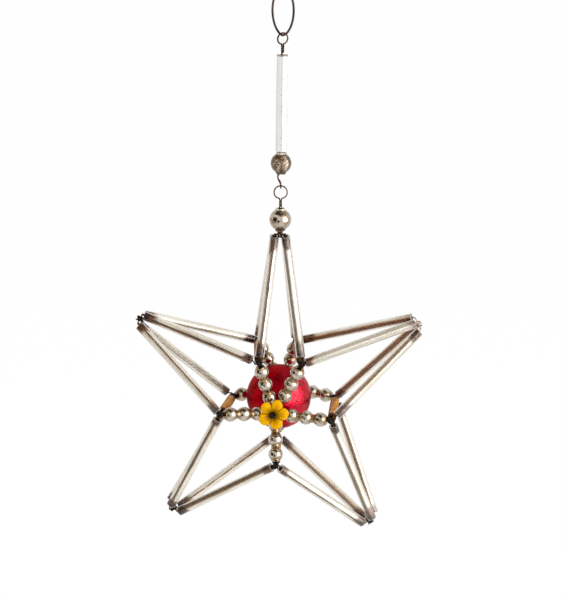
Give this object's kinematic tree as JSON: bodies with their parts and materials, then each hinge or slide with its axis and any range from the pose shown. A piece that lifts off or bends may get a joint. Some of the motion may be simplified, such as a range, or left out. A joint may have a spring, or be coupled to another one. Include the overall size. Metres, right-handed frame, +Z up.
{
  "type": "hanging glass star ornament",
  "caption": "Hanging star of silvered glass tubes and blown beads, wired round a red glass ball with a yellow pressed-glass flower, on a linked wire hanger.",
  "frame": {"origin": "where a hook bears, inside the top of the hanging loop", "axes": "+Z up, -Y towards the flower side of the star, +X to the right seen from there"},
  "size_m": [0.0855, 0.0368, 0.1636],
  "materials": {
    "silvered_glass": "clear glass tube, silvered inside, tarnished brown towards its ends",
    "mirror_glass": "thin blown glass silvered inside, worn",
    "amber_glass": "amber lined glass tube",
    "red_glass": "crimson lacquer over thin blown glass, crazed",
    "yellow_glass": "opaque yellow pressed glass",
    "satin_glass": "satin white glass tube",
    "tarnished_wire": "dark brown tarnish",
    "loop_wire": "dark oxidised"
  },
  "bodies": {
    "hanger": {"hanging_loop": "loop_wire"},
    "link": {"link_wire": "tarnished_wire"},
    "strung_tube": {"satin_tube": "satin_glass"},
    "strung_link_bead": {"link_bead": "mirror_glass"},
    "star": {"star_hanger_wire": "tarnished_wire", "tip_binding_right": "tarnished_wire", "tip_binding_low_right": "tarnished_wire", "tip_binding_low_left": "tarnished_wire", "tip_binding_left": "tarnished_wire", "front_frame_wire": "tarnished_wire", "back_frame_wire": "tarnished_wire", "tube_top_front_a": "silvered_glass", "tube_top_front_b": "silvered_glass", "tube_top_back_a": "silvered_glass", "tube_top_back_b": "silvered_glass", "tube_right_front_a": "silvered_glass", "tube_right_front_b": "silvered_glass", "tube_right_back_a": "silvered_glass", "tube_right_back_b": "silvered_glass", "tube_low_right_front_a": "silvered_glass", "tube_low_right_front_b": "silvered_glass", "tube_low_right_back_a": "silvered_glass", "tube_low_right_back_b": "silvered_glass", "tube_low_left_front_a": "silvered_glass", "tube_low_left_front_b": "silvered_glass", "tube_low_left_back_a": "silvered_glass", "tube_low_left_back_b": "silvered_glass", "tube_left_front_a": "silvered_glass", "tube_left_front_b": "silvered_glass", "tube_left_back_a": "silvered_glass", "tube_left_back_b": "silvered_glass", "bead_stick_front_1": "mirror_glass", "bead_stick_front_2": "mirror_glass", "bead_stick_front_3": "mirror_glass", "bead_stick_front_4": "mirror_glass", "bead_stick_front_5": "mirror_glass", "bead_stick_back_1": "mirror_glass", "bead_stick_back_2": "mirror_glass", "bead_stick_back_3": "mirror_glass", "bead_stick_back_4": "mirror_glass", "bead_stick_back_5": "mirror_glass", "rib_wire_1": "tarnished_wire", "rib_wire_2": "tarnished_wire", "rib_wire_3": "tarnished_wire", "rib_wire_4": "tarnished_wire", "rib_wire_5": "tarnished_wire", "cross_tube_1": "amber_glass", "cross_tube_2": "amber_glass", "cross_tube_3": "amber_glass", "cross_tube_4": "amber_glass", "cross_tube_5": "amber_glass", "ball": "red_glass", "flower": "yellow_glass", "hub_wire": "tarnished_wire"},
    "strung_star_bead": {"star_bead": "mirror_glass"}
  },
  "joints": [
    {"name": "link_swing", "type": "hinge", "parent": "hanger", "child": "link", "pos_m": [0, 0, -0.01397], "axis": [0.8829, -0.4695, 0], "range_deg": [-40, 40]},
    {"name": "star_swing", "type": "hinge", "parent": "link", "child": "star", "pos_m": [0, 0, -0.05868], "axis": [0, 1, 0], "range_deg": [-50, 50]},
    {"name": "satin_tube_spin", "type": "hinge", "parent": "link", "child": "strung_tube", "pos_m": [0, 0, -0.04787], "axis": [0, 0, 1], "continuous": true},
    {"name": "link_bead_spin", "type": "hinge", "parent": "link", "child": "strung_link_bead", "pos_m": [0, 0, -0.05127], "axis": [0, 0, 1], "continuous": true},
    {"name": "star_bead_spin", "type": "hinge", "parent": "star", "child": "strung_star_bead", "pos_m": [0, 0, -0.06819], "axis": [0, 0, 1], "continuous": true}
  ]
}
